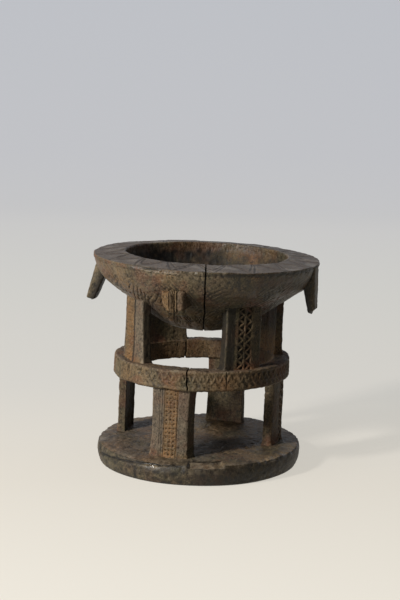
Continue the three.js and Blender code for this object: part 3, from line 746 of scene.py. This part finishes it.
def hatching(arc, level, seed):
    """Fine slanting strokes both ways, faint and broken."""
    cut = 0
    for direction, pitch in ((0.8, 3.1 * mm), (-1.1, 3.9 * mm), (-1.6, 5.3 * mm)):
        field = points_at(arc, level, 50 * direction)
        phase = (arc + direction * level) / pitch + 0.4 * swell(field, 12 * mm, seed)
        stroke = np.abs(phase - np.round(phase)) * pitch
        there = smooth(-0.1, 0.4, swell(field, 7 * mm, seed + 3))
        cut = np.maximum(cut, smooth(0.7 * mm, 0.25 * mm, stroke) * there)
    return cut


zigzag = rim_zigzag(bowl_reach, bowl_azimuths) * is_rim
hatch = hatching(bowl_arc, bowl_level, 101) * is_cone
gouge = np.abs(swell(points_at(bowl_arc, bowl_level * 0.6), 4.5 * mm, 104))
deep_inside = is_hollow * smooth(bowl_height - 8 * mm, bowl_height - 16 * mm, bowl_level)
bowl_crack = split(bowl, bowl_split, 0.62 * mm, 0.4 * mm, 107)
bowl_crack = bowl_crack * smooth(14 * mm, 26 * mm, bowl_reach) * (1 - deep_inside)
above_edge = bowl_level - rim_outer_level
right_front = smooth(15, 30, np.degrees(bowl_azimuths)) * smooth(115, 85, np.degrees(bowl_azimuths))
# A shallow crease under the edge of the rim with painted shade in it, strongest at the front right.
under_edge = smooth(1.6 * mm, 0.5 * mm, np.abs(above_edge + 1.7 * mm)) * (bowl_reach > rim_radius - 4 * mm)
under_edge = under_edge * (1 - is_rim) * (0.25 + 0.75 * right_front)
lip_side = smooth(rim_radius - 1.0 * mm, rim_radius - 0.3 * mm, bowl_reach)
lip_side = lip_side * (bowl_level > rim_lower_level)
lip_front = near(bowl_azimuths, -2, rim_radius, 18 * mm)
lip_right = near(bowl_azimuths, 62, rim_radius, 12 * mm)
lip_wander = 0.5 * mm * swell(bowl * [1, 1, 0], 6 * mm, 118)
lip_crevice = smooth(1.2 * mm, 0.6 * mm, np.abs(above_edge + 0.5 * mm + lip_wander))
lip_crevice = lip_crevice * (bowl_reach > rim_radius - 2.2 * mm) * lip_front
lip_crevice = lip_crevice * smooth(6 * mm, -12 * mm, arc_from(bowl_azimuths, 0, rim_radius))
lip_bead = smooth(0.75 * mm, 0.3 * mm, np.abs(bowl_level - rim_lower_level - 0.6 * mm - lip_wander))
lip_bead = lip_bead * (bowl_reach > rim_radius - 1.6 * mm) * lip_front
upper_arris = smooth(0.9 * mm, 0.3 * mm, np.hypot(bowl_reach - rim_radius + 0.5 * mm, above_edge))
# The bead under the lip and the arris at the right are rubbed and carry painted glints: paler, less rough.
rubbed_and_glinting_lip = np.maximum(lip_bead, upper_arris * lip_right)
rubbed_and_glinting_lip = rubbed_and_glinting_lip * smooth(-0.35, 0.1, swell(bowl * [1, 1, 0], 4 * mm, 116))
bowl_push = (hand_cut(bowl, 100) * (1 - 0.5 * is_rim) - 0.4 * mm * zigzag - 0.5 * mm * hatch
             - 0.2 * mm * gouge * is_hollow - bowl_split_depth * bowl_crack
             - 0.5 * mm * under_edge - 0.8 * mm * lip_crevice + 0.35 * mm * rubbed_and_glinting_lip)
bowl_push += 0.35 * mm * swell(bowl, 13 * mm, 113) * (1 - is_hollow)
bowl_push -= 0.6 * mm * smooth(0.35, 0.8, swell(bowl * [1, 1, 0.5], 5 * mm, 114)) * lip_side
warm_patch = near(bowl_azimuths, 168, 50 * mm, 19 * mm, 2) * is_hollow
warm_patch = warm_patch * smooth(bowl_height - 24 * mm, bowl_height - 10 * mm, bowl_level)
inner_spots = swell(bowl, 3.4 * mm, 120)
inner_brink = np.hypot(bowl_reach - mouth_radius - 0.6 * mm, bowl_level - bowl_height + 0.4 * mm)
# A painted glint along the inner brink at the back left.
painted_brink_glint = smooth(1.5 * mm, 0.5 * mm, inner_brink) * near(bowl_azimuths, -124, mouth_radius, 9 * mm)
rubbed_and_glinting_lip = np.maximum(rubbed_and_glinting_lip, painted_brink_glint)
bowl = with_bowl(uneven(bowl + bowl_normals * bowl_push[..., None]))
# The left of the bowl, towards the lamp: painted light, lighter and more ochre.
painted_light_side = smooth(25 * mm, -55 * mm, level_places(bowl)[0])
# Painted sheen low on the left of the cone.
painted_sheen_low_left = smooth(0.6, 0.85, painted_light_side) * is_cone * smooth(62 * mm, 50 * mm, bowl_reach)
bowl_worn = 0.08 + 0.35 * painted_light_side + 0.35 * swell(bowl, 15 * mm, 108)
bowl_tones = {
    "worn": (bowl_worn * (1 - 0.6 * is_hollow) * (1 - 0.6 * is_rim)
             + 0.25 * is_rim * smooth(0.2, 0.6, swell(bowl, 7 * mm, 122)) + 1.6 * rubbed_and_glinting_lip),
    # Painted sheen on the rim and low on the left of the cone.
    "grey_and_sheen": (0.95 + 0.3 * swell(bowl, 6 * mm, 121)) * is_rim + 0.8 * painted_sheen_low_left,
    "ochre": (0.3 * painted_light_side + 0.35 * swell(bowl, 11 * mm, 109)) * (1 - is_rim) + 0.6 * warm_patch,
    "red": ((0.25 + 0.7 * swell(bowl, 13 * mm, 110)) * (1 - 0.8 * is_rim) + 0.3 * is_hollow
            + 0.5 * lip_side * painted_light_side),
    "matt": np.maximum(0.85 * is_hollow, 0.15 + 0.2 * is_rim) * (1 - rubbed_and_glinting_lip),
    # Painted glints along the lip and the brink, and painted highlights in patches on the rim.
    "polish_and_glint": rubbed_and_glinting_lip + 0.5 * is_rim * smooth(0.1, 0.6, swell(bowl, 7 * mm, 119)),
    "sunk_and_shaded": np.maximum.reduce([
        bowl_crack, 0.8 * hatch, 0.8 * under_edge, 0.6 * zigzag, 0.95 * lip_crevice,
        # Painted shade on the side of the lip at the front.
        0.35 * lip_side * lip_front * (1 - rubbed_and_glinting_lip),
        is_hollow * (0.84 - 0.62 * warm_patch + 0.35 * inner_spots)]),
}
cup = carved_mesh("bowl_body", bowl, bowl_tones, dark_patina)
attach(cup, "root")
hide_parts("bowl")

# The lugs: tapered tongues that hang from under the rim. They were cut from the same block, with
# flat sides and bevelled tips, and each was left at its own angle.

lug_rows, lug_columns = 90, 76
boxy = 6.0
# Side, azimuth, outward flare, setback, drop, slant of the tip, wear, two depths, hollow above.
lugs = (("left", -81, 14, 2.5, 34.5, 1.0, 0.2, (6.1, 3.1), 0.0),
        ("right", 94, 2, 0.5, 31.4, 3.0, 0.0, (5.5, 2.5), 2.6),
        ("back", 180, 9, 1.5, 33.1, 1.5, 0.2, (5.5, 2.5), 1.0))
for order, (side, azimuth, flare, setback, drop, slant, worn, depths, haunch) in enumerate(lugs):
    share = np.linspace(-0.06, 1, lug_rows)
    tip = np.sqrt(np.clip(1 - np.clip((share - 0.93) / 0.07, 0, 1) ** 2.4, 0.04, 1))
    wide = (7.5 - 2.5 * share) * mm * tip
    deep = (depths[0] + (depths[1] - depths[0]) * share) * mm
    round_turn = np.linspace(0, 2 * np.pi, lug_columns + 1)[:-1]
    across = np.sign(np.cos(round_turn)) * np.abs(np.cos(round_turn)) ** (2 / boxy)
    inward = np.sign(np.sin(round_turn)) * np.abs(np.sin(round_turn)) ** (2 / boxy)
    below = share * drop * mm
    middle = rim_radius - setback * mm + below * math.tan(math.radians(flare)) - deep
    reach = middle[:, None] - (deep * tip)[:, None] * inward
    reach = reach - haunch * mm * smooth(0.5, 0.3, share)[:, None] * smooth(-0.2, 0.8, inward)
    sideways = -wide[:, None] * across
    raised = slant * mm * (np.clip((share - 0.6) / 0.4, 0, 1)[:, None] ** 1.5 * (0.5 - 0.5 * inward))
    level = (rim_lower_level - below)[:, None] + raised
    facing, beside = around(math.radians(azimuth)), around(math.radians(azimuth + 90))
    grid = reach[..., None] * facing + sideways[..., None] * beside + level[..., None] * up_axis
    push = 0.7 * hand_cut(grid, 120 + 9 * order)
    push += 0.14 * mm * swell(grid * [1, 1, 0.15], 1.7 * mm, 121 + order)
    edge_wear = smooth(0.75, 0.95, np.abs(across)) * smooth(0.75, 0.95, np.abs(inward))
    grid = with_bowl(grid + outward(grid) * push[..., None])
    tones = {
        "worn": worn + 0.3 * swell(grid, 9 * mm, 122 + order) + 0.4 * edge_wear + 0.4 * (inward < -0.5),
        "ochre": 0.3 * swell(grid, 8 * mm, 123 + order),
        "red": 0.3 * swell(grid, 8 * mm, 124 + order),
        "matt": 0.4,
        "sunk_and_shaded": 0.85 * smooth(-0.3, 0.2, inward),
    # Painted shade on the inner half of each lug, under the bowl.
    }
    lug = carved_mesh("hanging_lug_" + side, grid, tones, dark_patina)
    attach(lug, "root")
    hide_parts("lug_" + side)

# What is left of the front lug: a block of torn fibre that stands off the cone, split upright along
# the grain. It is paler than the old surface, because the lug broke off long after it was cut.

torn_wood = old_wood("torn_wood", (0.040, 0.028, 0.016), (0.125, 0.088, 0.048), 0.55, 0.2, 0.1)
stub_azimuth = math.radians(3)
stub_width = 17 * mm
stub_top = 38.5 * mm
stub_drop = 17 * mm
stub_rows, stub_columns, stub_depth_steps = 70, 96, 14
side = np.linspace(-0.5, 0.5, stub_columns)[None]
down = np.linspace(0, 1, stub_rows)[:, None]
# The torn strips, from left to right: place across, length, and how far each is broken back.
strip_places = (-0.5, -0.32, -0.29, -0.15, -0.13, 0.04, 0.06, 0.17, 0.2, 0.44, 0.5)
strip_ends = np.interp(side, strip_places, (0.72, 0.92, 0.93, 1.0, 1.02, 1.0, 0.97, 0.95, 0.9, 0.88, 0.8))
strip_backs = np.interp(side, strip_places, (3.0, 2.2, 1.1, 0.9, 0.2, 0, 0.6, 0.9, 0.2, 0.4, 1.6))
grooves = ((-0.15, 0.3), (-0.07, 0.2), (0.0, 0.22), (0.07, 0.2), (0.185, 0.4))
groove = np.maximum.reduce([np.exp(-((side - at) * stub_width / (wide * mm)) ** 2) for at, wide in grooves])
strand = swell(points_at(side * stub_width), 1.1 * mm, 151)
ramble = swell(points_at(side * stub_width, 0, down * stub_drop), 4 * mm, 154)
fibrous = smooth(-0.22, -0.16, side) * (1 - 0.6 * smooth(0.2, 0.26, side))
stub_level = stub_top - down * strip_ends * stub_drop
outer = rim_radius - (2.9 + 3.2 * down + strip_backs * down ** 0.7) * mm
outer = outer + (0.5 * strand * fibrous - 0.7 * groove + 0.4 * ramble) * mm
outer = outer - 1.6 * mm * smooth(0.46, 0.5, np.abs(side)) - 3.6 * mm * smooth(0.3, 0.0, down)
outer = outer - 3.5 * mm * smooth(-0.1, -0.3, side) * smooth(0.55, 0.0, down)
outer = outer - 1.2 * mm * smooth(0.36, 0.5, side)
surface = np.interp(stub_level, [p[1] for p in underside], [p[0] for p in underside])
buried = np.minimum(surface - 3 * mm, outer - 2 * mm)
inwards = np.linspace(0, 1, stub_depth_steps + 2)[1:-1]
right_face = outer[:, -1:] + (buried[:, -1:] - outer[:, -1:]) * inwards[None]
left_face = buried[:, :1] + (outer[:, :1] - buried[:, :1]) * inwards[None]
reach = np.concatenate([outer, right_face, buried[:, ::-1], left_face], 1)
edge_line = np.full((1, stub_depth_steps), 0.5)
sideways = np.concatenate([side, edge_line, side[:, ::-1], -edge_line], 1) * stub_width
level = np.concatenate([stub_level, np.repeat(stub_level[:, -1:], stub_depth_steps, 1), stub_level[:, ::-1],
                        np.repeat(stub_level[:, :1], stub_depth_steps, 1)], 1)
facing, beside = around(stub_azimuth), around(stub_azimuth + np.pi / 2)
grid = reach[..., None] * facing + sideways[..., None] * beside + level[..., None] * up_axis
roughness = 0.25 * mm * swell(grid, 1.5 * mm, 153) + 0.2 * mm * swell(grid * [1, 1, 0.3], 3 * mm, 155)
grid = grid + outward(grid) * roughness[..., None]


def on_torn_face(field):
    """A tone of the torn face, and 0 on the sides and on what is buried in the bowl."""
    tone = np.zeros(reach.shape)
    tone[:, :stub_columns] = field
    return tone


seen_face = on_torn_face(1)
facet = on_torn_face(smooth(-0.13, -0.2, side))
cuts = on_torn_face(np.maximum(groove, smooth(0.2, 0.9, -strand) * fibrous))
tones = {
    "worn": (0.05 + 0.3 * facet + 0.35 * swell(grid * [1, 1, 0.3], 2.2 * mm, 152)) * seen_face,
    "grey_and_sheen": 0.45 * seen_face * smooth(0.16 * stub_width, 0.22 * stub_width, sideways),
    "ochre": (0.2 + 0.3 * facet) * seen_face,
    "red": 0.2 + 0.7 * facet * smooth(stub_top - 8 * mm, stub_top - 3 * mm, level),
    "matt": 0.5,
    "sunk_and_shaded": 0.7 * cuts + 0.25 * (1 - seen_face),
}
stub = carved_mesh("torn_lug_front", with_bowl(grid), tones, torn_wood)
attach(stub, "root")
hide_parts("lug_stub_front")

# The studio: a pale paper sweep, a lamp and a low broad softbox to the left of the camera, a soft
# lamp above, weak ones to the right and behind, and a camera at the place from which the cup is
# seen a little from above.

scene = bpy.context.scene
view_azimuth = math.radians(20)
camera_distance = 1.0842
camera_height = 0.3010
camera_aside = -0.0008
camera_pitch = math.radians(9.683)
camera_roll = math.radians(1.306)
focal_pixels = 1552
picture_height = 600
sensor_size = 36

rightwards = Vector(around(view_azimuth + math.pi / 2))
away = Vector(around(view_azimuth + math.pi))
forward = away * math.cos(camera_pitch) - Vector((0, 0, math.sin(camera_pitch)))
upwards = rightwards.cross(forward)
rolled_right = rightwards * math.cos(camera_roll) + upwards * math.sin(camera_roll)
rolled_up = -rightwards * math.sin(camera_roll) + upwards * math.cos(camera_roll)
lens = bpy.data.cameras.new("camera")
lens.sensor_width = sensor_size
lens.lens = focal_pixels * sensor_size / picture_height
lens.clip_end = 50
camera = bpy.data.objects.new("camera", lens)
turning = Matrix((rolled_right, rolled_up, -forward)).transposed().to_4x4()
spot = rightwards * camera_aside - away * camera_distance + Vector((0, 0, camera_height))
camera.matrix_world = Matrix.Translation(spot) @ turning
scene.collection.objects.link(camera)
scene.camera = camera

sweep_steps = 40
sweep_near = -4.5
sweep_width = 9.0
sweep_far = 1.6
sweep_round = 0.9
sweep_top = 2.5
sweep_back = 3.55
sweep_line = [(sweep_near, 0.0), (sweep_far, 0.0)]
for step in range(1, sweep_steps + 1):
    bend = math.pi / 2 * step / sweep_steps
    sweep_line.append((sweep_far + sweep_round * math.sin(bend), sweep_round * (1 - math.cos(bend))))
sweep_line.append((sweep_far + sweep_round, sweep_top))
points, faces = [], []
for order, (far, up) in enumerate(sweep_line):
    points += [(-sweep_width / 2, far, up), (sweep_width / 2, far, up)]
    if order:
        faces.append((2 * order - 2, 2 * order - 1, 2 * order + 1, 2 * order))
paper_mesh = bpy.data.meshes.new("paper_sweep")
paper_mesh.from_pydata(points, [], faces)
paper_mesh.polygons.foreach_set("use_smooth", np.ones(len(faces), bool))
paper = bpy.data.objects.new("paper_sweep", paper_mesh)
paper.matrix_world = Matrix.Rotation(view_azimuth, 4, "Z")
scene.collection.objects.link(paper)
sheet = bpy.data.materials.new("paper")
sheet.use_nodes = True
nodes, links = sheet.node_tree.nodes, sheet.node_tree.links
sheet_shader = nodes["Principled BSDF"]
sheet_shader.inputs["Base Color"].default_value = (0.22, 0.21, 0.195, 1)
sheet_shader.inputs["Roughness"].default_value = 0.9
sheet_shader.inputs["Specular IOR Level"].default_value = 0.0


def joined(operation, a, b):
    made = nodes.new("ShaderNodeMath")
    made.operation = operation
    links.new(a, made.inputs[0])
    links.new(b, made.inputs[1])
    return made.outputs["Value"]


place = nodes.new("ShaderNodeTexCoord")
parts = nodes.new("ShaderNodeSeparateXYZ")
links.new(place.outputs["Object"], parts.inputs["Vector"])
sweep_share = nodes.new("ShaderNodeMapRange")
sweep_share.inputs["From Min"].default_value = sweep_near
sweep_share.inputs["From Max"].default_value = sweep_back
links.new(joined("ADD", parts.outputs["Y"], parts.outputs["Z"]), sweep_share.inputs["Value"])
tint = nodes.new("ShaderNodeValToRGB")
links.new(sweep_share.outputs["Result"], tint.inputs["Fac"])
# Tints of the paper by the metres back and up along it: dim behind the camera, cooler far away.
# The paper glows in them to the camera and in reflections: painted light, graded as on a lit sweep.
paper_tints = ((-3.0, (0.15, 0.145, 0.135)), (-0.95, (0.20, 0.19, 0.175)), (-0.45, (0.55, 0.525, 0.47)),
               (-0.33, (0.66, 0.63, 0.56)), (-0.05, (0.58, 0.55, 0.49)), (0.23, (0.53, 0.52, 0.49)),
               (0.75, (0.53, 0.53, 0.51)), (1.35, (0.53, 0.53, 0.53)), (2.03, (0.48, 0.49, 0.52)),
               (sweep_back, (0.43, 0.46, 0.515)))
while len(tint.color_ramp.elements) < len(paper_tints):
    tint.color_ramp.elements.new(0.5)
for element, (at, colour) in zip(tint.color_ramp.elements, paper_tints):
    element.position = (at - sweep_near) / (sweep_back - sweep_near)
    element.color = (*colour, 1)
glow = nodes.new("ShaderNodeEmission")
links.new(tint.outputs["Color"], glow.inputs["Color"])
seen = nodes.new("ShaderNodeLightPath").outputs
looked_at = joined("MAXIMUM", seen["Is Camera Ray"], seen["Is Glossy Ray"])
links.new(joined("MAXIMUM", looked_at, seen["Is Transmission Ray"]), glow.inputs["Strength"])
both = nodes.new("ShaderNodeAddShader")
links.new(sheet_shader.outputs["BSDF"], both.inputs[0])
links.new(glow.outputs["Emission"], both.inputs[1])
links.new(both.outputs["Shader"], nodes["Material Output"].inputs["Surface"])
paper_mesh.materials.append(sheet)
paper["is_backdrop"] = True


lamp_aim = 0.08


def soft_lamp(name, azimuth, elevation, distance, size, power, colour):
    lamp = bpy.data.lights.new(name, "AREA")
    lamp.shape = "RECTANGLE"
    lamp.size, lamp.size_y = size
    lamp.energy = power
    lamp.color = colour
    placed = bpy.data.objects.new(name, lamp)
    rise = math.radians(elevation)
    level_way = Vector(around(view_azimuth + math.radians(azimuth)))
    spot = (level_way * math.cos(rise) + Vector((0, 0, math.sin(rise)))) * distance
    placed.location = spot + Vector((0, 0, lamp_aim))
    placed.rotation_euler = spot.to_track_quat("Z", "Y").to_euler()
    scene.collection.objects.link(placed)


soft_lamp("key_lamp", -50, 27, 1.8, (0.2, 0.2), 32, (1.0, 0.95, 0.88))
soft_lamp("low_softbox", -60, 8, 1.4, (0.7, 0.36), 6.5, (1.0, 0.97, 0.93))
soft_lamp("top_softbox", -20, 78, 1.6, (1.1, 1.1), 3.6, (0.97, 0.98, 1.0))
soft_lamp("right_fill", 105, 20, 1.6, (0.4, 0.4), 1.5, (1.0, 0.97, 0.95))
soft_lamp("back_fill", 165, 58, 1.8, (1.2, 1.2), 2.0, (0.97, 0.98, 1.0))
world = bpy.data.worlds.new("room")
world.use_nodes = True
room = world.node_tree.nodes["Background"]
room.inputs["Color"].default_value = (0.9, 0.95, 1.0, 1)
room.inputs["Strength"].default_value = 0.01
scene.world = world
scene.view_settings.view_transform = "Standard"

sizes = {"cad": [list(corner) for corner in cad_box], "visual": [list(corner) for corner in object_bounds()]}
